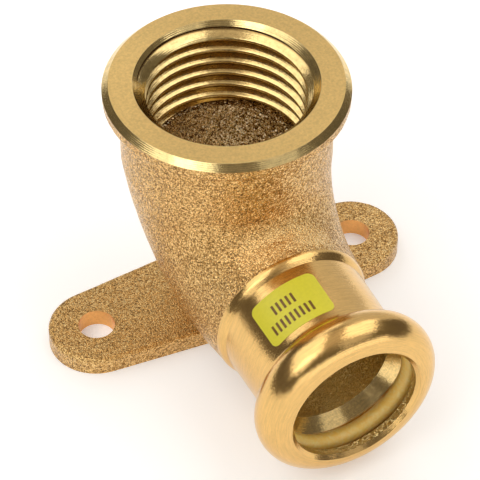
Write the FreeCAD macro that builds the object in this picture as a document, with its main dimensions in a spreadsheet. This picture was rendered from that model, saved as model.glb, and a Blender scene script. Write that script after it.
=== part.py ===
import FreeCAD, Part
import math
import os
import re
import Sketcher
from FreeCAD import Placement, Rotation, Vector

# Wall plate elbow, press socket to female thread, in millimetres.
# The plate's back lies on z = 0, the threaded socket looks up along +Z,
# the press socket points to the front along -Y and the screw ears lie along X.

doc = FreeCAD.newDocument("wall_plate_elbow")
sheet = doc.addObject("Spreadsheet::Sheet", "Sizes")

SIZES = [
    # threaded socket and its collar
    ("thread_diameter", 20.955),
    ("thread_depth", 12.0),
    ("countersink_depth", 0.45),
    ("socket_wall", 2.12),
    ("socket_straight", 6.5),
    ("collar_step", 1.9),
    ("collar_height", 2.2),
    ("collar_lip_round", 0.5),
    ("rim_chamfer", 0.75),
    # bend between the socket and the press leg, hinged about the crease above the leg
    ("crease_round", 2.2),
    ("bend_waist", 0.1),
    ("bend_wall", 2.8),
    ("core_step", 1.28),
    # press leg, from the bend out to the bead
    ("neck_length", 2.85),
    ("leg_wall", 2.4),
    ("shoulder_step", 0.5),
    ("shoulder_bevel", 0.65),
    ("press_length", 12.15),
    ("press_wall", 1.575),
    ("waist_wall", 1.35),
    ("bead_wall", 1.25),
    ("bead_root_round", 1.1),
    # tube seat inside the press leg
    ("seat_diameter", 15.2),
    ("insertion_depth", 19.2),
    ("stop_step", 1.0),
    ("mouth_step", 0.25),
    ("mouth_chamfer", 0.45),
    # seal, the room that its groove leaves it and the slanted flank behind the groove
    ("seal_cord", 2.1),
    ("seal_play", 0.6),
    ("seal_clearance", 0.1),
    ("groove_lift", 0.85),
    ("flank_run", 3.6),
    # wall plate and the foot that carries the bend
    ("plate_thickness", 2.4),
    ("plate_width", 15.0),
    ("plate_round", 0.5),
    ("hole_spacing", 35.6),
    ("hole_diameter", 4.5),
    ("ear_wall", 3.7),
    ("leg_lift", 0.1),
    ("foot_round", 0.9),
    ("foot_margin", 0.1),
]

for row, (alias, size) in enumerate(SIZES, start=1):
    sheet.set(f"A{row}", alias.replace("_", " "))
    sheet.set(f"B{row}", str(size))
    sheet.setAlias(f"B{row}", alias)
doc.recompute()

OVERCUT = 1.0
SLACK = 0.01
QUARTER_TURN = 90.0
BEND_STEPS = 4
BEND_TURNS = [QUARTER_TURN * step / BEND_STEPS for step in range(BEND_STEPS + 1)]
RIGHT_TURN = -1
LEFT_TURN = 1
CENTRE = 3

# Radii that follow from the bores and walls
thread_radius = "(thread_diameter / 2)"
socket_radius = f"({thread_radius} + socket_wall)"
rim_radius = f"({socket_radius} + collar_step)"
core_top_radius = f"({thread_radius} - core_step)"
seat_radius = "(seat_diameter / 2)"
waterway_radius = f"({seat_radius} - stop_step)"
mouth_radius = f"({seat_radius} + mouth_step)"
lip_radius = f"({mouth_radius} + mouth_chamfer)"
leg_radius = f"({seat_radius} + leg_wall)"
press_radius = f"({seat_radius} + press_wall)"
shoulder_radius = f"({press_radius} + shoulder_step)"
waist_radius = f"({seat_radius} + waist_wall)"
bend_radius = f"(({socket_radius} + {leg_radius} - bend_waist) / 2)"
core_bend_radius = f"({bend_radius} - bend_wall)"
groove_round = "(seal_cord / 2 + seal_play)"
groove_centre = f"({seat_radius} + groove_lift)"
bead_round = f"({groove_round} + bead_wall)"
ear_radius = "(hole_diameter / 2 + ear_wall)"
foot_radius = "(plate_width / 2 - plate_round - foot_round - foot_margin)"

# Heights above the wall
axis_height = f"(plate_thickness + leg_lift + {leg_radius})"
hinge_height = f"({axis_height} + {leg_radius} + crease_round)"
collar_foot = f"({hinge_height} + socket_straight)"
collar_edge = f"({collar_foot} + collar_step)"
socket_face = f"({collar_edge} + collar_height)"

# Reach of the press leg's features in front of the socket's axis
hinge_reach = f"({socket_radius} + crease_round)"
shoulder_reach = f"({hinge_reach} + neck_length)"
press_reach = f"({shoulder_reach} + shoulder_bevel)"
bead_reach = f"({press_reach} + press_length)"
bead_back = f"({bead_reach} - sqrt({bead_round} ^ 2 - ({waist_radius} - {groove_centre}) ^ 2))"
front_reach = f"({bead_reach} + sqrt({bead_round} ^ 2 - ({lip_radius} - {groove_centre}) ^ 2))"
groove_front = f"({bead_reach} + sqrt({groove_round} ^ 2 - ({mouth_radius} - {groove_centre}) ^ 2))"
flank_reach = f"({bead_reach} - flank_run)"
stop_reach = f"({front_reach} - insertion_depth)"


def sized(text):
    """Put the sheet's name before every size that an expression names."""
    names = "|".join(alias for alias, size in SIZES)
    return re.sub(rf"\b({names})\b", r"Sizes.\1", text)


def number(text):
    return float(sheet.evalExpression(sized(text)))


def origin_plane(body, role):
    return next(plane for plane in body.Origin.OriginFeatures if plane.Role == role)


def new_sketch(body, name, role, offset=None):
    sketch = body.newObject("Sketcher::SketchObject", name)
    sketch.AttachmentSupport = [(origin_plane(body, role), "")]
    sketch.MapMode = "FlatFace"
    if offset is not None:
        sketch.AttachmentOffset = offset
    return sketch


def press_sketch(body, name):
    """Sketch through the press leg: x runs out along the leg, y is the radius about its axis."""
    offset = Placement(Vector(0, number(axis_height), 0), Rotation(Vector(0, 1, 0), 2 * QUARTER_TURN))
    sketch = new_sketch(body, name, "YZ_Plane", offset)
    sketch.setExpression("AttachmentOffset.Base.y", sized(axis_height))
    return sketch


def pin(sketch, geometry, end, x_text, y_text):
    """Hold one point of a sketch at the place that the sheet's sizes give."""
    for kind, text, axis in (("DistanceX", x_text, -2), ("DistanceY", y_text, -1)):
        if text == "0":
            sketch.addConstraint(Sketcher.Constraint("PointOnObject", geometry, end, axis))
            continue
        index = sketch.addConstraint(Sketcher.Constraint(kind, geometry, end, number(text)))
        sketch.setExpression(f"Constraints[{index}]", sized(text))


def hold_radius(sketch, geometry, text):
    index = sketch.addConstraint(Sketcher.Constraint("Radius", geometry, number(text)))
    sketch.setExpression(f"Constraints[{index}]", sized(text))


def circle_in(sketch, y_text, radius_text):
    """Circle whose centre lies on the sketch's upright axis."""
    middle = Vector(0, number(y_text), 0)
    circle = sketch.addGeometry(Part.Circle(middle, Vector(0, 0, 1), number(radius_text)))
    pin(sketch, circle, CENTRE, "0", y_text)
    hold_radius(sketch, circle, radius_text)


def arc_between(start, end, radius, turn):
    """Arc of at most half a turn that bends to the left or right of the way from start to end."""
    chord = end - start
    rise = math.sqrt(max(radius ** 2 - (chord.Length / 2) ** 2, 0.0))
    side = Vector(-chord.y, chord.x, 0)
    side.normalize()
    centre = (start + end) * 0.5 + side * (rise * turn)
    circle = Part.Circle(centre, Vector(0, 0, 1), radius)
    first, last = (start, end) if turn == LEFT_TURN else (end, start)
    return Part.ArcOfCircle(circle, circle.parameter(first), circle.parameter(last))


def outline(sketch, corners):
    """Closed profile. A corner is (x, y) before a straight run, or (x, y, radius, turn) before an arc."""
    points = [Vector(number(corner[0]), number(corner[1]), 0) for corner in corners]
    runs = []
    for index, corner in enumerate(corners):
        start = points[index]
        end = points[(index + 1) % len(points)]
        if len(corner) == 2:
            runs.append((sketch.addGeometry(Part.LineSegment(start, end)), 1, 2))
            continue
        geometry = sketch.addGeometry(arc_between(start, end, number(corner[2]), corner[3]))
        runs.append((geometry, 1, 2) if corner[3] == LEFT_TURN else (geometry, 2, 1))
    for index, (geometry, first, last) in enumerate(runs):
        after, after_first, after_last = runs[(index + 1) % len(runs)]
        sketch.addConstraint(Sketcher.Constraint("Coincident", geometry, last, after, after_first))
        pin(sketch, geometry, first, corners[index][0], corners[index][1])
        if len(corners[index]) > 2:
            hold_radius(sketch, geometry, corners[index][2])


def turned(body, name, sketch, axis):
    feature = body.newObject("PartDesign::Revolution", name)
    feature.Profile = sketch
    feature.ReferenceAxis = (sketch, [axis])
    feature.Angle = 360
    doc.recompute()
    return feature


def padded(body, name, sketch, length, reverse=False):
    feature = body.newObject("PartDesign::Pad", name)
    feature.Profile = sketch
    feature.Length = number(length)
    feature.setExpression("Length", sized(length))
    feature.Reversed = reverse
    doc.recompute()
    return feature


def lofted(body, name, rings):
    doc.recompute()
    feature = body.newObject("PartDesign::AdditiveLoft", name)
    feature.Profile = rings[0]
    feature.Sections = rings[1:]
    doc.recompute()
    return feature


def rounded(body, name, base, edges, radius):
    feature = body.newObject("PartDesign::Fillet", name)
    feature.Base = (base, edges)
    feature.Radius = number(radius)
    feature.setExpression("Radius", sized(radius))
    doc.recompute()
    return feature


def edges_level_with(feature, low, high, place):
    """Names of the edges that lie wholly at one place along an axis of the part."""
    found = []
    for index, edge in enumerate(feature.Shape.Edges, start=1):
        box = edge.BoundBox
        if abs(getattr(box, low) - place) < SLACK and abs(getattr(box, high) - place) < SLACK:
            found.append(f"Edge{index}")
    return found


def radius_at(turn, first, middle, last):
    """Radius across the bend at a turn from 0 to 90 degrees, as a smooth run through three sizes."""
    share = turn / QUARTER_TURN
    start_part = (1 - share) * (1 - 2 * share)
    middle_part = 4 * share * (1 - share)
    end_part = share * (2 * share - 1)
    return f"({start_part} * {first} + {middle_part} * {middle} + {end_part} * {last})"


def outer_radius_at(turn):
    return radius_at(turn, socket_radius, bend_radius, leg_radius)


def core_radius_at(turn):
    return radius_at(turn, core_top_radius, core_bend_radius, waterway_radius)


def bend_ring(body, name, turn, radius):
    """Circle across the bend, on a plane that is turned about the hinge line of the crease."""
    depth = f"-1 * {hinge_reach}"
    place = Placement(Vector(0, number(depth), number(hinge_height)), Rotation(Vector(1, 0, 0), -turn))
    sketch = new_sketch(body, name, "XY_Plane", place)
    sketch.setExpression("AttachmentOffset.Base.y", sized(depth))
    sketch.setExpression("AttachmentOffset.Base.z", sized(hinge_height))
    circle_in(sketch, f"crease_round + {outer_radius_at(turn)}", radius)
    return sketch


# Casting blank: collar and socket turned about the upright axis
blank = doc.addObject("PartDesign::Body", "casting_blank")
socket_profile = new_sketch(blank, "socket_profile", "XZ_Plane")
outline(socket_profile, [
    ("0", hinge_height),
    (socket_radius, hinge_height),
    (socket_radius, collar_foot, "collar_step", RIGHT_TURN),
    (rim_radius, collar_edge),
    (rim_radius, f"{socket_face} - rim_chamfer"),
    (f"{rim_radius} - rim_chamfer", socket_face),
    ("0", socket_face),
])
socket = turned(blank, "socket", socket_profile, "V_Axis")
collar_lip = edges_level_with(socket, "ZMin", "ZMax", number(collar_edge))
rounded(blank, "collar_lip", socket, collar_lip, "collar_lip_round")

# The bend narrows from the socket to the press leg while it turns round the crease
bend_rings = [bend_ring(blank, f"bend_ring_{turn:.0f}", turn, outer_radius_at(turn)) for turn in BEND_TURNS]
lofted(blank, "bend", bend_rings)

# Press leg: cast neck, turned shoulder and cylinder, and the bead that holds the seal
leg_profile = press_sketch(blank, "leg_profile")
outline(leg_profile, [
    (hinge_reach, "0"),
    (hinge_reach, leg_radius),
    (shoulder_reach, shoulder_radius),
    (press_reach, press_radius),
    (bead_back, waist_radius, bead_round, RIGHT_TURN),
    (bead_reach, f"{groove_centre} + {bead_round}", bead_round, RIGHT_TURN),
    (front_reach, lip_radius),
    (front_reach, "0"),
])
leg = turned(blank, "leg", leg_profile, "H_Axis")
bead_root = edges_level_with(leg, "YMin", "YMax", -number(bead_back))
rounded(blank, "bead_root", leg, bead_root, "bead_root_round")

# Wall plate with two ears, drawn out from its middle; straight edges run smoothly into the round ears
plate = doc.addObject("PartDesign::Body", "wall_plate")
ear_reach = "(hole_spacing / 2)"
half_width = "(plate_width / 2)"
span = f"({ear_reach} ^ 2 + {half_width} ^ 2)"
edge_run = f"sqrt({span} - {ear_radius} ^ 2)"
ear_x = f"({ear_reach} - {ear_radius} * ({ear_reach} * {ear_radius} - {half_width} * {edge_run}) / {span})"
ear_y = f"({ear_radius} * ({half_width} * {ear_radius} + {ear_reach} * {edge_run}) / {span})"
plate_outline = new_sketch(plate, "plate_outline", "XY_Plane")
outline(plate_outline, [
    ("0", half_width),
    (ear_x, ear_y, ear_radius, RIGHT_TURN),
    (ear_x, f"-1 * {ear_y}"),
    ("0", f"-1 * {half_width}"),
    (f"-1 * {ear_x}", f"-1 * {ear_y}", ear_radius, RIGHT_TURN),
    (f"-1 * {ear_x}", ear_y),
])
slab = padded(plate, "slab", plate_outline, "plate_thickness")
slab_edge = edges_level_with(slab, "ZMin", "ZMax", number("plate_thickness"))
rounded(plate, "slab_edge", slab, slab_edge, "plate_round")

# Round foot that stands on the plate and ends inside the bend
foot_outline = new_sketch(plate, "foot_outline", "XY_Plane")
circle_in(foot_outline, "0", foot_radius)
foot = padded(plate, "foot", foot_outline, axis_height)
foot_reach = number(foot_radius) + SLACK
foot_crease = [name for name in edges_level_with(foot, "ZMin", "ZMax", number("plate_thickness"))
               if foot.Shape.getElement(name).BoundBox.XMax < foot_reach
               and foot.Shape.getElement(name).BoundBox.XMin > -foot_reach]
rounded(plate, "foot_crease", foot, foot_crease, "foot_round")

# Core of the casting: the waterway follows the bend and is open at both ends
core = doc.addObject("PartDesign::Body", "core")
core_rings = [bend_ring(core, f"core_ring_{turn:.0f}", turn, core_radius_at(turn)) for turn in BEND_TURNS]
lofted(core, "core_bend", core_rings)
padded(core, "core_top", core_rings[0], f"{socket_face} - {hinge_height}")
padded(core, "waterway", core_rings[-1], f"{front_reach} - {hinge_reach}", reverse=True)

# Tapped socket, bored to the thread's outer diameter, with its countersink
tapping = doc.addObject("PartDesign::Body", "tapping")
tapped_profile = new_sketch(tapping, "tapped_profile", "XZ_Plane")
outline(tapped_profile, [
    ("0", f"{socket_face} - thread_depth"),
    (thread_radius, f"{socket_face} - thread_depth"),
    (thread_radius, f"{socket_face} - countersink_depth"),
    (f"{thread_radius} + countersink_depth + {OVERCUT}", f"{socket_face} + {OVERCUT}"),
    ("0", f"{socket_face} + {OVERCUT}"),
])
turned(tapping, "tapped_bore", tapped_profile, "V_Axis")

# Tube seat: tube stop, seat, slanted flank that runs smoothly into the seal groove, and chamfered mouth
boring = doc.addObject("PartDesign::Body", "boring")
flank_span = "(flank_run ^ 2 + groove_lift ^ 2)"
flank_length = f"sqrt({flank_span} - {groove_round} ^ 2)"
flank_sine = f"((groove_lift * {flank_length} + flank_run * {groove_round}) / {flank_span})"
flank_cosine = f"((flank_run * {flank_length} - groove_lift * {groove_round}) / {flank_span})"
groove_start = f"({bead_reach} - {groove_round} * {flank_sine})"
groove_start_radius = f"({groove_centre} + {groove_round} * {flank_cosine})"
seat_profile = press_sketch(boring, "seat_profile")
outline(seat_profile, [
    (stop_reach, "0"),
    (stop_reach, seat_radius),
    (flank_reach, seat_radius),
    (groove_start, groove_start_radius, groove_round, RIGHT_TURN),
    (bead_reach, f"{groove_centre} + {groove_round}", groove_round, RIGHT_TURN),
    (groove_front, mouth_radius),
    (f"{front_reach} - mouth_chamfer", mouth_radius),
    (f"{front_reach} + {OVERCUT}", f"{lip_radius} + {OVERCUT}"),
    (f"{front_reach} + {OVERCUT}", "0"),
])
turned(boring, "seat", seat_profile, "H_Axis")

# Drilled screw holes, one in each ear
drills = []
for side_name, side in (("left", -1), ("right", 1)):
    drill = doc.addObject("Part::Cylinder", f"drill_{side_name}")
    drill.setExpression("Radius", sized("hole_diameter / 2"))
    drill.setExpression("Height", sized(f"plate_thickness + 2 * {OVERCUT}"))
    drill.Placement = Placement(Vector(0, 0, -OVERCUT), Rotation())
    drill.setExpression("Placement.Base.x", sized(f"{side} * hole_spacing / 2"))
    drills.append(drill)

# The finished body is one casting, with what is cored, tapped, bored and drilled taken out of it
casting = doc.addObject("Part::MultiFuse", "casting")
casting.Shapes = [blank, plate]
hollows = doc.addObject("Part::MultiFuse", "hollows")
hollows.Shapes = [core, tapping, boring] + drills
elbow = doc.addObject("Part::Cut", "elbow_body")
elbow.Base = casting
elbow.Tool = hollows
elbow.Label = "elbow_body"

# The seal lies against the flank and outer side of its groove, which leaves it room in front
SEAL_BACK_SHARE = 0.8
SEAL_OUT_SHARE = 0.6
seal_shift = "(seal_play - seal_clearance)"
seal = doc.addObject("Part::Torus", "o_ring")
seal.setExpression("Radius1", sized(f"{groove_centre} + {SEAL_OUT_SHARE} * {seal_shift}"))
seal.setExpression("Radius2", sized("seal_cord / 2"))
seal.Placement = Placement(Vector(0, 0, 0), Rotation(Vector(1, 0, 0), QUARTER_TURN))
seal.setExpression("Placement.Base.y", sized(f"-1 * ({bead_reach} - {SEAL_BACK_SHARE} * {seal_shift})"))
seal.setExpression("Placement.Base.z", sized(axis_height))
seal.Label = "o_ring"
doc.recompute()

for item in doc.Objects:
    if "Invalid" in item.State or "Error" in item.State:
        raise RuntimeError(f"{item.Name} did not build: {item.State}")

os.makedirs("parts", exist_ok=True)
for item in (elbow, seal):
    if item.Shape.isNull() or not item.Shape.isValid() or len(item.Shape.Solids) != 1:
        raise RuntimeError(f"{item.Label} is not one sound solid")
    item.Shape.exportStep(f"parts/{item.Label}.step")
    print(item.Label, "volume", round(item.Shape.Volume, 1), "mm3")
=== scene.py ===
import math
import bpy
import numpy as np
from mathutils import Matrix, Vector


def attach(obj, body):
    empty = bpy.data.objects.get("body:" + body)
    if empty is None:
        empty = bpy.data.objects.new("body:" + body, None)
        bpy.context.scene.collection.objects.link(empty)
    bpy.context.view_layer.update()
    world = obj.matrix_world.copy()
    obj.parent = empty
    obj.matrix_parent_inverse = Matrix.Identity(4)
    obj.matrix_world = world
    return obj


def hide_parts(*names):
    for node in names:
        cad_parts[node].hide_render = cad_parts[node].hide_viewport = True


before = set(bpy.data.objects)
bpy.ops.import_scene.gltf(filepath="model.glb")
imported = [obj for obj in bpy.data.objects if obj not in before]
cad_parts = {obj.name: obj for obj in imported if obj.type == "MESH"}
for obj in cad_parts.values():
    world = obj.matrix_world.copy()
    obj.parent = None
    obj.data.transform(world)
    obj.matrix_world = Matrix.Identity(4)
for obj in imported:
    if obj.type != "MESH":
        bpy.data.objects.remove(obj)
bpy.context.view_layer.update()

# Elbow body: one gunmetal casting with the wall plate, the bend, the collar and the press socket.
# Its skin is blasted and stays rough. The collar's face, its bevels and the press socket are turned
# bright on a lathe, the screw holes are drilled, and the waterway keeps the rough skin of its core.
MM = 0.001
MERGE_DISTANCE = 0.0005 * MM
SMOOTH_ANGLE = math.radians(30)

# Where each finish of the casting begins and ends, in millimetres or by the tilt of its faces
FACE_HEIGHT = 35.3
FACE_INNER_RADIUS = 10.93
FACE_UPRIGHT = 0.99
BEVEL_FOOT = 34.54
COUNTERSINK_WIDTH = 0.6
THREAD_BORE_RADIUS = 10.4775
THREAD_FOOT = 23.3
WALL_MARGIN = 0.05
HOLE_PLACE = 17.8
HOLE_RADIUS = 2.3
HOLE_WALL_TILT = 0.3
PRESS_AXIS_HEIGHT = 12.5
TURNED_FROM = -17.05
STOP_PLACE = -14.1
SEAT_RADIUS = 7.7
GROOVE_PLACE = -30.4475
GROOVE_RADIUS = 8.45
BEAD_INSIDE = 2.3
MOUTH_EDGE = -32.9
WATERWAY_RADIUS = 6.7
HINGE_PLACE = -14.7975
HINGE_HEIGHT = 24.7
CREASE_ROUND = 2.2
BEND_RADII = (12.5975, 11.2488, 10.0)
CORE_RADII = (9.1975, 8.4488, 6.6)
CAST, FACE, BEVEL, PRESS, BORED, DRILLED, WATERWAY, TAPPED, FLANK = range(9)


def select_only(piece):
    bpy.ops.object.select_all(action="DESELECT")
    piece.select_set(True)
    bpy.context.view_layer.objects.active = piece


def edit(piece, mode):
    select_only(piece)
    bpy.ops.object.mode_set(mode="EDIT")
    bpy.ops.mesh.select_mode(type=mode)


def merged_copy(node, name):
    """Bare copy of a solid's mesh in which the loose triangles share their corners."""
    piece = bpy.data.objects.new(name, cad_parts[node].data.copy())
    bpy.context.scene.collection.objects.link(piece)
    edit(piece, "FACE")
    bpy.ops.mesh.select_all(action="SELECT")
    bpy.ops.mesh.customdata_custom_splitnormals_clear()
    bpy.ops.mesh.remove_doubles(threshold=MERGE_DISTANCE)
    bpy.ops.object.mode_set(mode="OBJECT")
    piece.data.materials.clear()
    return piece


def three_point_run(share, sizes):
    """Size at a share of the way along a run that passes through three sizes."""
    first, middle, last = sizes
    start_part = (1 - share) * (1 - 2 * share)
    middle_part = 4 * share * (1 - share)
    end_part = share * (2 * share - 1)
    return start_part * first + middle_part * middle + end_part * last


def in_the_core(x, y, z):
    """Whether a place of the bend belongs to the waterway's wall and not to the outer skin."""
    share = math.atan2(HINGE_HEIGHT - z, y - HINGE_PLACE) / (math.pi / 2)
    outer = three_point_run(share, BEND_RADII)
    core = three_point_run(share, CORE_RADII)
    offset = math.hypot(y - HINGE_PLACE, z - HINGE_HEIGHT) - CREASE_ROUND - outer
    return math.hypot(x, offset) < (outer + core) / 2


def finish_at(place, normal):
    """Which finish the casting has at a place, in millimetres, with a given outward direction."""
    x, y, z = place
    from_socket = math.hypot(x, y)
    from_press = math.hypot(x, z - PRESS_AXIS_HEIGHT)
    from_groove = math.hypot(y - GROOVE_PLACE, from_press - GROOVE_RADIUS)
    faces_press_axis = x * normal.x + (z - PRESS_AXIS_HEIGHT) * normal.z < 0
    if z > BEVEL_FOOT and from_socket > FACE_INNER_RADIUS - COUNTERSINK_WIDTH:
        return FACE if normal.z > FACE_UPRIGHT else BEVEL
    if z > THREAD_FOOT + WALL_MARGIN and from_socket < THREAD_BORE_RADIUS + WALL_MARGIN:
        return TAPPED
    if math.hypot(abs(x) - HOLE_PLACE, y) < HOLE_RADIUS and abs(normal.z) < HOLE_WALL_TILT:
        return DRILLED
    if y < STOP_PLACE and from_press < SEAT_RADIUS:
        return BORED
    if MOUTH_EDGE < y < GROOVE_PLACE and from_groove < BEAD_INSIDE:
        return BORED
    if GROOVE_PLACE < y < TURNED_FROM and faces_press_axis:
        return FLANK
    if y < TURNED_FROM:
        return PRESS
    if y < HINGE_PLACE:
        return WATERWAY if from_press < WATERWAY_RADIUS else CAST
    if z < HINGE_HEIGHT and in_the_core(x, y, z):
        return WATERWAY
    return CAST


# Shoulder of the press socket, with the round edge that a lathe tool leaves
SHOULDER_PLACE = -17.6475
SHOULDER_FRONT = -18.3
SHOULDER_RADIUS = 9.675
SHOULDER_ROUND = 0.32
SHOULDER_STEPS = 4


def round_shoulder(piece):
    edit(piece, "FACE")
    bpy.ops.mesh.select_all(action="DESELECT")
    bpy.ops.object.mode_set(mode="OBJECT")
    for face in piece.data.polygons:
        x, y, z = face.center / MM
        from_press = math.hypot(x, z - PRESS_AXIS_HEIGHT)
        face.select = SHOULDER_FRONT < y < TURNED_FROM and from_press > SEAT_RADIUS
    bpy.ops.object.mode_set(mode="EDIT")
    bpy.ops.mesh.tris_convert_to_quads()
    bpy.ops.mesh.select_all(action="DESELECT")
    bpy.ops.mesh.select_mode(type="EDGE")
    bpy.ops.object.mode_set(mode="OBJECT")
    on_the_edge = []
    for point in piece.data.vertices:
        x, y, z = point.co / MM
        from_press = math.hypot(x, z - PRESS_AXIS_HEIGHT)
        level = abs(y - SHOULDER_PLACE) < WALL_MARGIN
        on_the_edge.append(level and from_press > SHOULDER_RADIUS - WALL_MARGIN)
    for edge in piece.data.edges:
        edge.select = all(on_the_edge[index] for index in edge.vertices)
    bpy.ops.object.mode_set(mode="EDIT")
    bpy.ops.mesh.bevel(offset=SHOULDER_ROUND * MM, segments=SHOULDER_STEPS)
    bpy.ops.object.mode_set(mode="OBJECT")


elbow = merged_copy("elbow_body", "elbow_casting")
edit(elbow, "FACE")
bpy.ops.mesh.select_all(action="SELECT")
bpy.ops.mesh.bisect(plane_co=(0, TURNED_FROM * MM, 0), plane_no=(0, 1, 0))
bpy.ops.object.mode_set(mode="OBJECT")
round_shoulder(elbow)


def fill(tree, socket, value):
    """Give a node's input a value, or link another node's output to it."""
    if isinstance(value, bpy.types.NodeSocket):
        tree.links.new(value, socket)
    else:
        socket.default_value = value


def add_node(tree, kind, **inputs):
    """New shader node with the given values or links on its named inputs."""
    node = tree.nodes.new(kind)
    for name, value in inputs.items():
        fill(tree, node.inputs[name.replace("_", " ")], value)
    return node


def math_node(tree, operation, *values):
    node = tree.nodes.new("ShaderNodeMath")
    node.operation = operation
    for socket, value in zip(node.inputs, values):
        fill(tree, socket, value)
    return node.outputs["Value"]


def vector_math(tree, operation, *values):
    node = tree.nodes.new("ShaderNodeVectorMath")
    node.operation = operation
    for socket, value in zip(node.inputs, values):
        fill(tree, socket, value)
    return node.outputs["Value" if operation == "LENGTH" else "Vector"]


def ramp(tree, factor, *stops):
    """Colour that runs through stops of (place, colour) as its factor goes from 0 to 1."""
    node = add_node(tree, "ShaderNodeValToRGB", Fac=factor)
    while len(node.color_ramp.elements) < len(stops):
        node.color_ramp.elements.new(0.5)
    for element, (place, colour) in zip(node.color_ramp.elements, stops):
        element.position = place
        element.color = (*colour, 1.0)
    return node.outputs["Color"]


def carried(tree, value, start, end, result_start, result_end):
    """Value carried from one range to another, and kept inside it."""
    node = add_node(tree, "ShaderNodeMapRange", Value=value, From_Min=start, From_Max=end,
                    To_Min=result_start, To_Max=result_end)
    return node.outputs["Result"]


def multiplied(tree, first, second):
    """Product of two colours."""
    node = tree.nodes.new("ShaderNodeMix")
    node.data_type = "RGBA"
    node.blend_type = "MULTIPLY"
    node.inputs["Factor"].default_value = 1.0
    colour_inputs = [socket for socket in node.inputs if socket.type == "RGBA"]
    tree.links.new(first, colour_inputs[0])
    tree.links.new(second, colour_inputs[1])
    return next(socket for socket in node.outputs if socket.type == "RGBA")


def places_in_mm(tree):
    places = add_node(tree, "ShaderNodeTexCoord")
    per_mm = (1 / MM, 1 / MM, 1 / MM)
    scaled = add_node(tree, "ShaderNodeMapping", Vector=places.outputs["Object"], Scale=per_mm)
    return scaled.outputs["Vector"]


def new_finish(name):
    """New material with its node tree and its shader."""
    material = bpy.data.materials.new(name)
    material.use_nodes = True
    return material, material.node_tree, material.node_tree.nodes["Principled BSDF"]


def new_effect(name, inputs, outputs):
    """New group of nodes with the given sockets, its input's outputs and its output's inputs."""
    group = bpy.data.node_groups.new(name, "ShaderNodeTree")
    for side, sockets in (("INPUT", inputs), ("OUTPUT", outputs)):
        for socket, kind in sockets.items():
            group.interface.new_socket(socket, in_out=side, socket_type=kind)
    given = group.nodes.new("NodeGroupInput").outputs
    results = group.nodes.new("NodeGroupOutput").inputs
    return group, given, results


def use_effect(tree, effect, **inputs):
    """Node that stands for a shared group of nodes, with values or links on its inputs."""
    node = tree.nodes.new("ShaderNodeGroup")
    node.node_tree = effect
    for name, value in inputs.items():
        fill(tree, node.inputs[name.replace("_", " ")], value)
    return node.outputs


# Grain of metal, as height, tone, slow patches and tilted facets, shared by all finishes of the casting
NUMBER = "NodeSocketFloat"
ARROW = "NodeSocketVector"
PORE_FINENESS = 1.3
PORE_SHARE = 0.75
GRAIN_DOME = 0.7
PATCHES_PER_MM = 0.22
HALF = (0.5, 0.5, 0.5)
grain_group, given, results = new_effect(
    "blasted grain", {"Places": ARROW, "Fineness": NUMBER, "Tilt": NUMBER},
    {"Height": NUMBER, "Tone": NUMBER, "Patches": NUMBER, "Facets": ARROW})
grains = add_node(grain_group, "ShaderNodeTexVoronoi", Vector=given["Places"],
                  Scale=given["Fineness"]).outputs
pore_scale = math_node(grain_group, "MULTIPLY", given["Fineness"], PORE_FINENESS)
pores = add_node(grain_group, "ShaderNodeTexNoise", Vector=given["Places"], Scale=pore_scale, Detail=2.0,
                 Roughness=0.6).outputs["Fac"]
patches = add_node(grain_group, "ShaderNodeTexNoise", Vector=given["Places"], Scale=PATCHES_PER_MM,
                   Detail=2.0).outputs["Fac"]
grain_shade = add_node(grain_group, "ShaderNodeSeparateColor", Color=grains["Color"]).outputs["Red"]
dome = math_node(grain_group, "MULTIPLY", grains["Distance"], -GRAIN_DOME)
pore_tone = math_node(grain_group, "MULTIPLY", pores, PORE_SHARE)
shade_tone = math_node(grain_group, "MULTIPLY", grain_shade, 1 - PORE_SHARE)
lean = vector_math(grain_group, "SUBTRACT", grains["Color"], HALF)
tilted = vector_math(grain_group, "MULTIPLY", lean, given["Tilt"])
outward = add_node(grain_group, "ShaderNodeNewGeometry").outputs["Normal"]
facet = vector_math(grain_group, "ADD", outward, tilted)
fill(grain_group, results["Height"], math_node(grain_group, "ADD", dome, pores))
fill(grain_group, results["Tone"], math_node(grain_group, "ADD", pore_tone, shade_tone))
fill(grain_group, results["Patches"], patches)
fill(grain_group, results["Facets"], vector_math(grain_group, "NORMALIZE", facet))

# Streaks that a lathe tool leaves round the third axis of the places it is given
STREAKS_ROUND = (5.0, 5.0, 5.0)
streak_group, given, results = new_effect(
    "lathe streaks", {"Places": ARROW, "Per Millimetre": NUMBER}, {"Streaks": NUMBER})
parts = add_node(streak_group, "ShaderNodeSeparateXYZ", Vector=given["Places"]).outputs
across = add_node(streak_group, "ShaderNodeCombineXYZ", X=parts["X"], Y=parts["Y"]).outputs["Vector"]
bearing = vector_math(streak_group, "MULTIPLY", vector_math(streak_group, "NORMALIZE", across), STREAKS_ROUND)
radius = vector_math(streak_group, "LENGTH", across)
rings = math_node(streak_group, "MULTIPLY", radius, given["Per Millimetre"])
ring_way = add_node(streak_group, "ShaderNodeCombineXYZ", Z=rings).outputs["Vector"]
streaks = streak_group.nodes.new("ShaderNodeTexNoise")
streaks.noise_dimensions = "4D"
fill(streak_group, streaks.inputs["Scale"], 1.0)
fill(streak_group, streaks.inputs["Detail"], 3.0)
fill(streak_group, streaks.inputs["Vector"], vector_math(streak_group, "ADD", bearing, ring_way))
fill(streak_group, streaks.inputs["W"],
     math_node(streak_group, "MULTIPLY", parts["Z"], given["Per Millimetre"]))
fill(streak_group, results["Streaks"], streaks.outputs["Fac"])

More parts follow.
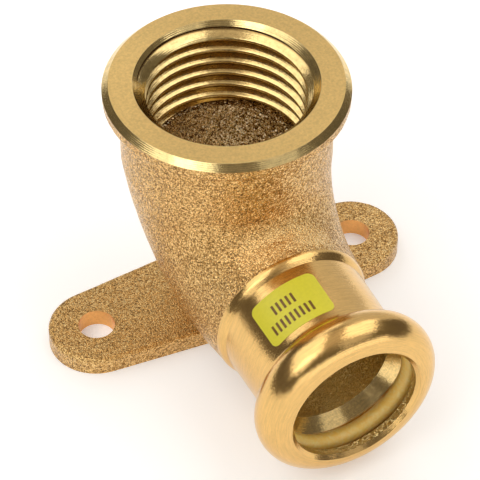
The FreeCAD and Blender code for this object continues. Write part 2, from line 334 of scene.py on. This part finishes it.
# Blasted finish: darker pores, single grains that glint, and a smoother skin in the crease, where a painted
# highlight lifts the tone
WHITE = (1.0, 1.0, 1.0)
CREASE_AHEAD = 0.2
CREASE_CORE = 0.5
CREASE_FADE = 2.4
CREASE_CALM = 0.25
# Painted highlight in the crease, as a lift of the grain's tone
CREASE_PAINTED_HIGHLIGHT = 0.17
MIDDLE_TONE = 0.5
WARM_PATCH = (0.97, 0.93, 0.9)
PATCH_RANGE = (0.3, 0.7)
GLINT_RANGE = (0.35, 0.65)
DULL_GRAIN = 1.2
SHINY_GRAIN = 0.7


def in_the_crease(tree, places):
    """Share of the crease of the bend, from 0 to 1, with its smoother skin and its painted highlight."""
    foot = (0, HINGE_PLACE - CREASE_AHEAD, HINGE_HEIGHT - CREASE_ROUND)
    from_foot = vector_math(tree, "SUBTRACT", places, foot)
    distance = vector_math(tree, "LENGTH", vector_math(tree, "MULTIPLY", from_foot, (0, 1, 1)))
    return carried(tree, distance, CREASE_CORE, CREASE_FADE, 1.0, 0.0)


def blasted_metal(name, dark, middle, light, fineness, tilt, depth, roughness, spread):
    """Rough cast gunmetal, with its grain in grains per millimetre and its depth in millimetres."""
    material, tree, shader = new_finish(name)
    places = places_in_mm(tree)
    crease = in_the_crease(tree, places)
    calm = math_node(tree, "MULTIPLY", crease, -CREASE_CALM * tilt)
    grain = use_effect(tree, grain_group, Places=places, Fineness=fineness,
                       Tilt=math_node(tree, "ADD", calm, tilt))
    # Painted highlight: the crease's tone is lifted, standing in for the light that the crease catches
    painted_highlight = math_node(tree, "MULTIPLY", crease, CREASE_PAINTED_HIGHLIGHT)
    tone = ramp(tree, math_node(tree, "ADD", grain["Tone"], painted_highlight), (MIDDLE_TONE - spread, dark),
                (MIDDLE_TONE, middle), (MIDDLE_TONE + spread, light))
    warm = ramp(tree, grain["Patches"], (PATCH_RANGE[0], WARM_PATCH), (PATCH_RANGE[1], WHITE))
    relief = add_node(tree, "ShaderNodeBump", Height=grain["Height"], Distance=depth * MM,
                      Normal=grain["Facets"])
    glint = carried(tree, grain["Tone"], *GLINT_RANGE, roughness * DULL_GRAIN, roughness * SHINY_GRAIN)
    fill(tree, shader.inputs["Base Color"], multiplied(tree, tone, warm))
    fill(tree, shader.inputs["Normal"], relief.outputs["Normal"])
    fill(tree, shader.inputs["Roughness"], glint)
    fill(tree, shader.inputs["Metallic"], 1.0)
    return material


# Turned finish: fine lathe lines, smudges, streaks round the axis and a little of the grain
SPECKLE_FINENESS = 10.0
SMUDGE_RANGE = (0.35, 0.62)
DULL_STREAK = 1.2
SHINY_STREAK = 0.8


def on_the_axis(tree, places, axis):
    """Places turned so that the third axis is the one the metal was turned about."""
    if axis == "Z":
        return places
    turned = add_node(tree, "ShaderNodeMapping", Vector=places, Location=(0, PRESS_AXIS_HEIGHT, 0),
                      Rotation=(math.pi / 2, 0, 0))
    return turned.outputs["Vector"]


def turned_metal(name, colour, axis, roughness, pitch, depth, smudge_size, smudge_share, speckle,
                 streak_width=0.2, streak_share=0.1):
    """Bright metal turned about the upright axis or the press socket's, with sizes in millimetres."""
    material, tree, shader = new_finish(name)
    places = places_in_mm(tree)
    lines = add_node(tree, "ShaderNodeTexWave", Vector=places, Scale=1 / (math.pi * pitch),
                     Distortion=1.2, Detail=3.0, Detail_Scale=1.5)
    if axis == "Z":
        lines.wave_type = "RINGS"
        lines.rings_direction = "Z"
    else:
        lines.wave_type = "BANDS"
        lines.bands_direction = axis
    smudges = add_node(tree, "ShaderNodeTexNoise", Vector=places, Scale=1 / smudge_size, Detail=4.0,
                       Roughness=0.6)
    streak = use_effect(tree, streak_group, Places=on_the_axis(tree, places, axis),
                        Per_Millimetre=1 / streak_width)["Streaks"]
    grain = use_effect(tree, grain_group, Places=places, Fineness=SPECKLE_FINENESS, Tilt=speckle)
    darker = tuple((1 - smudge_share) * part for part in colour)
    worn = (1 - streak_share, 1 - streak_share, 1 - streak_share)
    tone = ramp(tree, smudges.outputs["Fac"], (SMUDGE_RANGE[0], darker), (SMUDGE_RANGE[1], colour))
    streaked = ramp(tree, streak, (SMUDGE_RANGE[0], worn), (SMUDGE_RANGE[1], WHITE))
    relief = add_node(tree, "ShaderNodeBump", Height=lines.outputs["Fac"], Distance=depth * MM,
                      Normal=grain["Facets"])
    gloss = carried(tree, streak, 0.0, 1.0, roughness * DULL_STREAK, roughness * SHINY_STREAK)
    fill(tree, shader.inputs["Base Color"], multiplied(tree, tone, streaked))
    fill(tree, shader.inputs["Normal"], relief.outputs["Normal"])
    fill(tree, shader.inputs["Roughness"], gloss)
    fill(tree, shader.inputs["Metallic"], 1.0)
    return material


# Colours and settings of the finishes
CAST_DARK = (0.19, 0.10, 0.03)
CAST_TONE = (0.66, 0.39, 0.13)
CAST_LIGHT = (1.0, 0.72, 0.33)
CORE_DARK = (0.20, 0.11, 0.045)
# Waterway: middle and light tones painted much lighter than the outer skin's, as painted light in its shade
CORE_TONE_PAINTED_LIGHTER = (1.0, 0.75, 0.40)
CORE_LIGHT_PAINTED_LIGHTER = (1.0, 0.92, 0.66)
FACE_COLOUR = (0.82, 0.56, 0.21)
BEVEL_COLOUR = (0.90, 0.68, 0.30)
PRESS_COLOUR = (0.80, 0.51, 0.185)
# Bored tube seat: painted lighter than the press socket outside, as painted light in the shade of the mouth
BORED_PAINTED_LIGHT_COLOUR = (1.0, 0.78, 0.35)
FLANK_COLOUR = (0.94, 0.68, 0.29)
DRILLED_COLOUR = (0.92, 0.50, 0.17)
TAPPED_COLOUR = (0.86, 0.63, 0.27)
# Painted shade in the roots of the thread, from where it begins to where it is full, in millimetres from the
# axis
ROOT_PAINTED_SHADE = (0.26, 0.2, 0.14)
ROOT_SHADE_FROM = 10.2
ROOT_SHADE_FULL = 10.45

cast_skin = blasted_metal("blasted gunmetal", CAST_DARK, CAST_TONE, CAST_LIGHT, fineness=5.7, tilt=0.6,
                          depth=0.075, roughness=0.24, spread=0.16)
# Cored skin of the waterway, painted lighter as painted light; its coarser, glintier grain is its own
cored_skin_painted_lighter = blasted_metal("cored gunmetal painted lighter", CORE_DARK, CORE_TONE_PAINTED_LIGHTER, CORE_LIGHT_PAINTED_LIGHTER, fineness=4.4, tilt=1.0,
                           depth=0.1, roughness=0.22, spread=0.1)
turned_face = turned_metal("turned collar face", FACE_COLOUR, "Z", roughness=0.34, pitch=0.12, depth=0.004,
                           smudge_size=0.3, smudge_share=0.16, speckle=0.12, streak_share=0.05)
bright_bevel = turned_metal("bright bevels", BEVEL_COLOUR, "Z", roughness=0.14, pitch=0.16, depth=0.003,
                            smudge_size=0.8, smudge_share=0.2, speckle=0.03)
bright_press = turned_metal("bright press socket", PRESS_COLOUR, "Y", roughness=0.18, pitch=0.13, depth=0.002,
                            smudge_size=0.5, smudge_share=0.04, speckle=0.07, streak_width=0.1,
                            streak_share=0.14)
# Bored wall, painted lighter as painted light; its rougher, speckled satin finish is its own
bored_wall_painted_light = turned_metal("bored tube seat painted lighter", BORED_PAINTED_LIGHT_COLOUR, "Y", roughness=0.32, pitch=0.2, depth=0.004,
                          smudge_size=0.16, smudge_share=0.35, speckle=0.95)
bright_flank = turned_metal("slanted flank", FLANK_COLOUR, "Y", roughness=0.14, pitch=0.13, depth=0.002,
                            smudge_size=0.3, smudge_share=0.22, speckle=0.04, streak_width=0.1,
                            streak_share=0.12)
drilled_wall = turned_metal("drilled hole wall", DRILLED_COLOUR, "Z", roughness=0.3, pitch=0.2, depth=0.003,
                            smudge_size=0.8, smudge_share=0.1, speckle=0.1)
tapped_wall = turned_metal("cut thread", TAPPED_COLOUR, "Z", roughness=0.17, pitch=0.2, depth=0.002,
                           smudge_size=0.6, smudge_share=0.18, speckle=0.05)


def paint_root_shade(material):
    """Paint shade into the roots of the thread, darker with distance from the socket's axis."""
    tree = material.node_tree
    colour = tree.nodes["Principled BSDF"].inputs["Base Color"]
    unshaded = colour.links[0].from_socket
    distance = vector_math(tree, "LENGTH", vector_math(tree, "MULTIPLY", places_in_mm(tree), (1, 1, 0)))
    deep = carried(tree, distance, ROOT_SHADE_FROM, ROOT_SHADE_FULL, 0.0, 1.0)
    root_shade = ramp(tree, deep, (0.0, WHITE), (1.0, ROOT_PAINTED_SHADE))
    fill(tree, colour, multiplied(tree, unshaded, root_shade))


paint_root_shade(tapped_wall)
finishes = {CAST: cast_skin, FACE: turned_face, BEVEL: bright_bevel, PRESS: bright_press,
            BORED: bored_wall_painted_light, DRILLED: drilled_wall, WATERWAY: cored_skin_painted_lighter, TAPPED: tapped_wall,
            FLANK: bright_flank}
for finish in sorted(finishes):
    elbow.data.materials.append(finishes[finish])
for face in elbow.data.polygons:
    face.material_index = finish_at(face.center / MM, face.normal)
select_only(elbow)
bpy.ops.object.shade_smooth_by_angle(angle=SMOOTH_ANGLE)

# Rough skin: the blasted grain as a shape, pressed into the cast faces and the waterway
SKIN_EDGE = 0.66 * MM
SKIN_ROUNDS = 7
SKIN_GRAIN = 0.8 * MM
SKIN_DEPTH = 0.05 * MM
PLATE_BACK = 0.02 * MM


def values_of(items, name, kind, per_item=1):
    """One property of all edges, points, corners or faces of a mesh."""
    values = np.zeros(len(items) * per_item, kind)
    items.foreach_get(name, values)
    return values


def wholly_rough(mesh, items, name):
    """Mask of the edges or points, by the name that a corner calls them, that touch rough faces only."""
    face_finishes = values_of(mesh.polygons, "material_index", np.int32)
    corner_counts = values_of(mesh.polygons, "loop_total", np.int32)
    smooth = ~np.isin(np.repeat(face_finishes, corner_counts), (CAST, WATERWAY))
    mask = np.ones(len(items), bool)
    mask[values_of(mesh.loops, name, np.int32)[smooth]] = False
    return mask


def refine_rough_skin(piece):
    """Split the long edges of the rough faces until the grain has points to stand on."""
    mesh = piece.data
    for step in range(SKIN_ROUNDS):
        ends = values_of(mesh.edges, "vertices", np.int32, 2)
        places = values_of(mesh.vertices, "co", np.float32, 3).reshape(-1, 3)
        lengths = np.linalg.norm(places[ends[0::2]] - places[ends[1::2]], axis=1)
        long = (lengths > SKIN_EDGE) & wholly_rough(mesh, mesh.edges, "edge_index")
        if not long.any():
            break
        edit(piece, "EDGE")
        bpy.ops.mesh.select_all(action="DESELECT")
        bpy.ops.object.mode_set(mode="OBJECT")
        mesh.edges.foreach_set("select", long)
        bpy.ops.object.mode_set(mode="EDIT")
        bpy.ops.mesh.subdivide(number_cuts=1)
        bpy.ops.mesh.select_all(action="SELECT")
        bpy.ops.mesh.quads_convert_to_tris()
        bpy.ops.object.mode_set(mode="OBJECT")


def roughen(piece):
    """Press the blasted grain into the rough skin, inwards only, and leave the plate's back flat."""
    mesh = piece.data
    rough = wholly_rough(mesh, mesh.vertices, "vertex_index")
    above_back = [point.index for point in mesh.vertices if point.co.z > PLATE_BACK]
    group = piece.vertex_groups.new(name="rough skin")
    group.add([index for index in above_back if rough[index]], 1.0, "REPLACE")
    grain = bpy.data.textures.new("blasted grain", "CLOUDS")
    grain.noise_scale = SKIN_GRAIN
    grain.noise_depth = 1
    dent = piece.modifiers.new("blasted grain", "DISPLACE")
    dent.texture = grain
    dent.texture_coords = "LOCAL"
    dent.vertex_group = group.name
    dent.mid_level = 1.0
    dent.strength = SKIN_DEPTH
    select_only(piece)
    bpy.ops.object.modifier_apply(modifier=dent.name)


refine_rough_skin(elbow)
roughen(elbow)
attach(elbow, "root")
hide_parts("elbow_body")

# Female thread: cut into the collar with a tap, so its turns are the same metal as the casting.
# Its rounded ridges climb to the right, and the collar's countersink cuts the first turn away.
THREAD_PITCH = 1.8143
THREAD_DEPTH = 0.640327 * THREAD_PITCH
THREAD_ROUND = 0.137329 * THREAD_PITCH
THREAD_FLANK = math.radians(62.5)
THREAD_SUNK = 0.08
THREAD_ROOT_GAP = 0.02
THREAD_FIRST_RIDGE = THREAD_FOOT - THREAD_PITCH / 2
THREAD_LAST_RIDGE = FACE_HEIGHT + THREAD_PITCH / 4
THREAD_STEPS_PER_TURN = 96
ARC_STEPS = 4
KEPT_INNER_RADIUS = 9.0
KEPT_OUTER_RADIUS = 10.7
KEPT_FOOT = THREAD_FOOT - 0.1
KEPT_STEPS = 160
CUT_DEPTH = 0.02


def ridge_profile():
    """Half of one ridge as (radius, height) points, from its crest to the root."""
    crest = THREAD_BORE_RADIUS - THREAD_DEPTH
    points = []
    for step in range(ARC_STEPS + 1):
        turn = THREAD_FLANK * step / ARC_STEPS
        points.append((crest + THREAD_ROUND * (1 - math.cos(turn)), THREAD_ROUND * math.sin(turn)))
    for step in range(ARC_STEPS + 1):
        turn = THREAD_FLANK * (1 - step / ARC_STEPS)
        height = THREAD_PITCH / 2 - THREAD_ROOT_GAP - THREAD_ROUND * math.sin(turn)
        points.append((THREAD_BORE_RADIUS - THREAD_ROUND * (1 - math.cos(turn)), height))
    return points


def swept(name, profile, first_height, turns, pitch, steps):
    """Closed profile of (radius, height) points, swept round the upright axis and along it."""
    mesh = bpy.data.meshes.new(name)
    corners = [(radius * MM, 0, (first_height + height) * MM) for radius, height in profile]
    sides = [(index, (index + 1) % len(corners)) for index in range(len(corners))]
    mesh.from_pydata(corners, sides, [])
    piece = bpy.data.objects.new(name, mesh)
    bpy.context.scene.collection.objects.link(piece)
    sweep = piece.modifiers.new("sweep", "SCREW")
    sweep.axis = "Z"
    sweep.angle = 2 * math.pi * turns
    sweep.screw_offset = pitch * turns * MM
    sweep.steps = steps
    sweep.render_steps = steps
    sweep.use_merge_vertices = pitch == 0
    sweep.merge_threshold = MERGE_DISTANCE
    select_only(piece)
    bpy.ops.object.modifier_apply(modifier=sweep.name)
    edit(piece, "EDGE")
    bpy.ops.mesh.select_all(action="SELECT")
    bpy.ops.mesh.fill_holes(sides=0)
    bpy.ops.mesh.select_all(action="SELECT")
    bpy.ops.mesh.normals_make_consistent(inside=False)
    bpy.ops.object.mode_set(mode="OBJECT")
    return piece


def countersink_height_at(radius):
    return FACE_HEIGHT - CUT_DEPTH - (FACE_INNER_RADIUS - radius)


half = ridge_profile()
ridge = [(radius, -height) for radius, height in reversed(half[1:])] + half
ridge_back = THREAD_BORE_RADIUS + THREAD_SUNK
ridge = [(ridge_back, ridge[0][1])] + ridge + [(ridge_back, ridge[-1][1])]
thread_turns = (THREAD_LAST_RIDGE - THREAD_FIRST_RIDGE) / THREAD_PITCH
thread_steps = int(THREAD_STEPS_PER_TURN * thread_turns)
thread = swept("female_thread", ridge, THREAD_FIRST_RIDGE, thread_turns, THREAD_PITCH, thread_steps)
thread.data.materials.append(tapped_wall)
kept_space = [(KEPT_INNER_RADIUS, KEPT_FOOT), (KEPT_OUTER_RADIUS, KEPT_FOOT),
              (KEPT_OUTER_RADIUS, countersink_height_at(KEPT_OUTER_RADIUS)),
              (KEPT_INNER_RADIUS, countersink_height_at(KEPT_INNER_RADIUS))]
kept = swept("kept_space", kept_space, first_height=0, turns=1, pitch=0, steps=KEPT_STEPS)
kept.data.materials.append(bright_bevel)
trim = thread.modifiers.new("countersink", "BOOLEAN")
trim.operation = "INTERSECT"
trim.solver = "EXACT"
trim.material_mode = "TRANSFER"
trim.object = kept
select_only(thread)
bpy.ops.object.modifier_apply(modifier=trim.name)
bpy.data.objects.remove(kept)
select_only(thread)
bpy.ops.object.shade_smooth_by_angle(angle=SMOOTH_ANGLE)
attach(thread, "root")

# Seal: a ring of yellow rubber, moulded in one piece and a little dusty. It is pushed by hand into the
# groove of the bead, where it lies loose until the socket is pressed on a tube.
SEAL_COLOUR = (1.0, 0.67, 0.16)
SEAL_DUSTY = (1.0, 0.76, 0.28)
SEAL_ROUGHNESS = 0.32
SEAL_DEPTH_OF_LIGHT = 0.6 * MM
SEAL_LIGHT_SHARE = 0.1
DUST_PER_MM = 2.2
DUST_RANGE = (0.42, 0.68)
DUST_HEIGHT = 0.01 * MM
DUST_STRENGTH = 0.6
seal = merged_copy("o_ring", "seal")
seal_rubber, tree, shader = new_finish("yellow rubber")
dust = add_node(tree, "ShaderNodeTexNoise", Vector=places_in_mm(tree), Scale=DUST_PER_MM, Detail=4.0,
                Roughness=0.65).outputs["Fac"]
dusty = ramp(tree, dust, (DUST_RANGE[0], SEAL_COLOUR), (DUST_RANGE[1], SEAL_DUSTY))
relief = add_node(tree, "ShaderNodeBump", Height=dust, Distance=DUST_HEIGHT, Strength=DUST_STRENGTH)
fill(tree, shader.inputs["Base Color"], dusty)
fill(tree, shader.inputs["Normal"], relief.outputs["Normal"])
fill(tree, shader.inputs["Roughness"], SEAL_ROUGHNESS)
fill(tree, shader.inputs["Subsurface Weight"], SEAL_LIGHT_SHARE)
fill(tree, shader.inputs["Subsurface Scale"], SEAL_DEPTH_OF_LIGHT)
seal.data.materials.append(seal_rubber)
select_only(seal)
bpy.ops.object.shade_smooth_by_angle(angle=SMOOTH_ANGLE)
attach(seal, "root")
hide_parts("o_ring")

# Printed field: a thin coat of yellow-green ink with round corners, printed on the press socket
# and rolled round it, so it follows the slight taper of the metal.
FIELD_LOW_TURN = math.radians(-49)
FIELD_HIGH_TURN = math.radians(6)
FIELD_BACK = -19.8
FIELD_FRONT = -26.0
FIELD_CORNER = 0.85
CORNER_STEPS = 6
PATCH_STEP = 0.35
PRESS_BACK = -18.2975
PRESS_BACK_RADIUS = 9.175
PRESS_FRONT = -27.5911
PRESS_FRONT_RADIUS = 8.95
INK_THICKNESS = 0.025
INK_ROUGHNESS = 0.4
INK_MOTTLE_PER_MM = 3.0
INK_MOTTLE_RANGE = (0.35, 0.65)
FIELD_COLOUR = (0.72, 0.66, 0.038)
FIELD_DARK = (0.68, 0.625, 0.036)


def press_radius_at(place):
    share = (place - PRESS_BACK) / (PRESS_FRONT - PRESS_BACK)
    return PRESS_BACK_RADIUS + share * (PRESS_FRONT_RADIUS - PRESS_BACK_RADIUS)


def rolled_patch(name, low_turn, high_turn, back, front, corner, lift):
    """Coat of ink with round corners, on the press socket between two turns and two places."""
    middle_turn = (low_turn + high_turn) / 2
    middle_place = (back + front) / 2
    width = (high_turn - low_turn) * press_radius_at(middle_place)
    bpy.ops.object.select_all(action="DESELECT")
    bpy.ops.mesh.primitive_plane_add(size=1.0)
    patch = bpy.context.object
    patch.name = name
    patch.scale = (width * MM, (back - front) * MM, 1.0)
    bpy.ops.object.transform_apply(location=False, rotation=False, scale=True)
    edit(patch, "VERT")
    bpy.ops.mesh.select_all(action="SELECT")
    bpy.ops.mesh.bevel(offset=corner * MM, segments=CORNER_STEPS, affect="VERTICES")
    cuts = int(width / PATCH_STEP) + 1
    for cut in range(1, cuts):
        bpy.ops.mesh.select_all(action="SELECT")
        bpy.ops.mesh.bisect(plane_co=((cut / cuts - 0.5) * width * MM, 0, 0), plane_no=(1, 0, 0))
    bpy.ops.object.mode_set(mode="OBJECT")
    for point in patch.data.vertices:
        place = middle_place + point.co.y / MM
        turn = middle_turn + point.co.x / MM / press_radius_at(middle_place)
        reach = press_radius_at(place) + lift
        height = PRESS_AXIS_HEIGHT + reach * math.cos(turn)
        point.co = Vector((reach * math.sin(turn), place, height)) * MM
    coat = patch.modifiers.new("coat of ink", "SOLIDIFY")
    coat.thickness = INK_THICKNESS * MM
    coat.offset = 1.0
    select_only(patch)
    bpy.ops.object.modifier_apply(modifier=coat.name)
    bpy.ops.object.shade_smooth_by_angle(angle=SMOOTH_ANGLE)
    return patch


def ink(name, dark, light):
    """Ink that is a little uneven in its tone."""
    material, tree, shader = new_finish(name)
    mottle = add_node(tree, "ShaderNodeTexNoise", Vector=places_in_mm(tree), Scale=INK_MOTTLE_PER_MM,
                      Detail=3.0).outputs["Fac"]
    tone = ramp(tree, mottle, (INK_MOTTLE_RANGE[0], dark), (INK_MOTTLE_RANGE[1], light))
    fill(tree, shader.inputs["Base Color"], tone)
    fill(tree, shader.inputs["Roughness"], INK_ROUGHNESS)
    return material


field = rolled_patch("printed_field", FIELD_LOW_TURN, FIELD_HIGH_TURN, FIELD_BACK, FIELD_FRONT, FIELD_CORNER,
                     lift=0)
field.data.materials.append(ink("yellow-green ink", FIELD_DARK, FIELD_COLOUR))
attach(field, "root")

# Printed strokes: two rows of plain brown strokes in a thin coat of ink. They are printed over the
# dry ink of the field and rolled round the press socket with it.
STROKE_WIDTH = math.radians(1.9)
STROKE_PITCH = math.radians(4.1)
STROKE_LENGTH = 1.4
STROKE_CORNER = 0.06
STROKE_COLOUR = (0.20, 0.10, 0.012)
STROKE_DARK = (0.13, 0.065, 0.008)
FIRST_ROW = {"back": -21.35, "turn": math.radians(-34), "count": 5}
SECOND_ROW = {"back": -23.55, "turn": math.radians(-42), "count": 9}
strokes = []
for row in (FIRST_ROW, SECOND_ROW):
    for index in range(row["count"]):
        low_turn = row["turn"] + index * STROKE_PITCH
        stroke = rolled_patch("printed_strokes", low_turn, low_turn + STROKE_WIDTH, row["back"],
                              row["back"] - STROKE_LENGTH, STROKE_CORNER, lift=INK_THICKNESS)
        strokes.append(stroke)
bpy.ops.object.select_all(action="DESELECT")
for stroke in strokes:
    stroke.select_set(True)
bpy.context.view_layer.objects.active = strokes[0]
bpy.ops.object.join()
print_rows = bpy.context.object
print_rows.name = "printed_strokes"
print_rows.data.materials.append(ink("brown ink", STROKE_DARK, STROKE_COLOUR))
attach(print_rows, "root")

# Studio: a pale floor, seven soft lamps and a dim room that is brighter overhead. Softboxes stand at the
# left, the right and the back, and panels fill in from the left front, the front, low down and the back.
FLOOR_SIZE = 6.0
FLOOR_GAP = 0.02 * MM
FLOOR_COLOUR = (0.93, 0.93, 0.93)
FLOOR_ROUGHNESS = 0.9
FLOOR_GLOW = 0.27
AIM = Vector((0, -0.008, 0.018))
ROOM_TINT = (1.0, 0.88, 0.74)

# Greys of the room's walls and ceiling, from the level of the part to straight above it
ROOM_GREYS = ((0.0, 0.18), (0.25, 0.14), (0.6, 0.17), (0.77, 0.26), (0.87, 0.42), (1.0, 0.62))
bpy.ops.object.select_all(action="DESELECT")
bpy.ops.mesh.primitive_plane_add(size=FLOOR_SIZE, location=(0, 0, -FLOOR_GAP))
floor = bpy.context.object
floor.name = "floor"
floor_paint, tree, shader = new_finish("floor paint")
rays = tree.nodes.new("ShaderNodeLightPath").outputs
seen = math_node(tree, "MAXIMUM", rays["Is Camera Ray"], rays["Is Glossy Ray"])
seen = math_node(tree, "MAXIMUM", seen, rays["Is Transmission Ray"])
fill(tree, shader.inputs["Base Color"], (*FLOOR_COLOUR, 1.0))
fill(tree, shader.inputs["Roughness"], FLOOR_ROUGHNESS)
fill(tree, shader.inputs["Emission Color"], (*WHITE, 1.0))
fill(tree, shader.inputs["Emission Strength"], math_node(tree, "MULTIPLY", seen, FLOOR_GLOW))
floor.data.materials.append(floor_paint)


def softbox(name, azimuth, height, distance, width, depth, radiance):
    """Soft lamp that looks at the part from a direction in degrees, with its sizes in metres."""
    lamp_data = bpy.data.lights.new(name, "AREA")
    lamp_data.shape = "RECTANGLE"
    lamp_data.size = width
    lamp_data.size_y = depth
    lamp_data.energy = radiance * math.pi * width * depth
    lamp = bpy.data.objects.new(name, lamp_data)
    bpy.context.scene.collection.objects.link(lamp)
    around = math.radians(azimuth)
    above = math.radians(height)
    level = math.cos(above)
    direction = Vector((level * math.cos(around), level * math.sin(around), math.sin(above)))
    lamp.location = AIM + distance * direction
    lamp.rotation_euler = direction.to_track_quat("Z", "Y").to_euler()


softbox("left softbox", azimuth=164, height=55, distance=0.6, width=0.82, depth=0.48, radiance=1.4)
softbox("right softbox", azimuth=-8, height=60, distance=0.6, width=0.6, depth=0.4, radiance=1.45)
softbox("left front panel", azimuth=-148, height=40, distance=0.6, width=0.3, depth=0.32, radiance=1.2)
softbox("front panel", azimuth=-66, height=42, distance=0.7, width=0.34, depth=0.4, radiance=0.45)
softbox("low panel", azimuth=-86, height=9, distance=0.7, width=1.3, depth=0.27, radiance=1.35)
softbox("back panel", azimuth=45, height=24, distance=0.9, width=0.8, depth=0.9, radiance=0.56)
softbox("back softbox", azimuth=88, height=34, distance=0.9, width=0.4, depth=0.45, radiance=1.4)
world = bpy.data.worlds.new("studio")
bpy.context.scene.world = world
world.use_nodes = True
tree = world.node_tree
way = add_node(tree, "ShaderNodeTexCoord").outputs["Generated"]
upward = add_node(tree, "ShaderNodeSeparateXYZ", Vector=way).outputs["Z"]
room_stops = [(place, tuple(grey * part for part in ROOM_TINT)) for place, grey in ROOM_GREYS]
fill(tree, tree.nodes["Background"].inputs["Color"], ramp(tree, upward, *room_stops))

# Camera at the photograph's own place and angle
CAMERA_PLACE = (-0.092135, -0.184978, 0.220600)
CAMERA_FORWARD = Vector((0.31656571, 0.62308932, -0.71522433))
CAMERA_ROLL = math.radians(0.395)
CAMERA_LENS = 180.22
CAMERA_SENSOR = 36.0
CAMERA_NEAR = 0.01
level_right = CAMERA_FORWARD.cross(Vector((0, 0, 1))).normalized()
level_up = level_right.cross(CAMERA_FORWARD)
right = math.cos(CAMERA_ROLL) * level_right + math.sin(CAMERA_ROLL) * level_up
up = -math.sin(CAMERA_ROLL) * level_right + math.cos(CAMERA_ROLL) * level_up
camera_data = bpy.data.cameras.new("camera")
camera_data.lens = CAMERA_LENS
camera_data.sensor_width = CAMERA_SENSOR
camera_data.clip_start = CAMERA_NEAR
camera = bpy.data.objects.new("camera", camera_data)
bpy.context.scene.collection.objects.link(camera)
turn = Matrix((right, up, -CAMERA_FORWARD)).transposed().to_4x4()
camera.matrix_world = Matrix.Translation(CAMERA_PLACE) @ turn
bpy.context.scene.camera = camera
bpy.context.scene.view_settings.view_transform = "Standard"
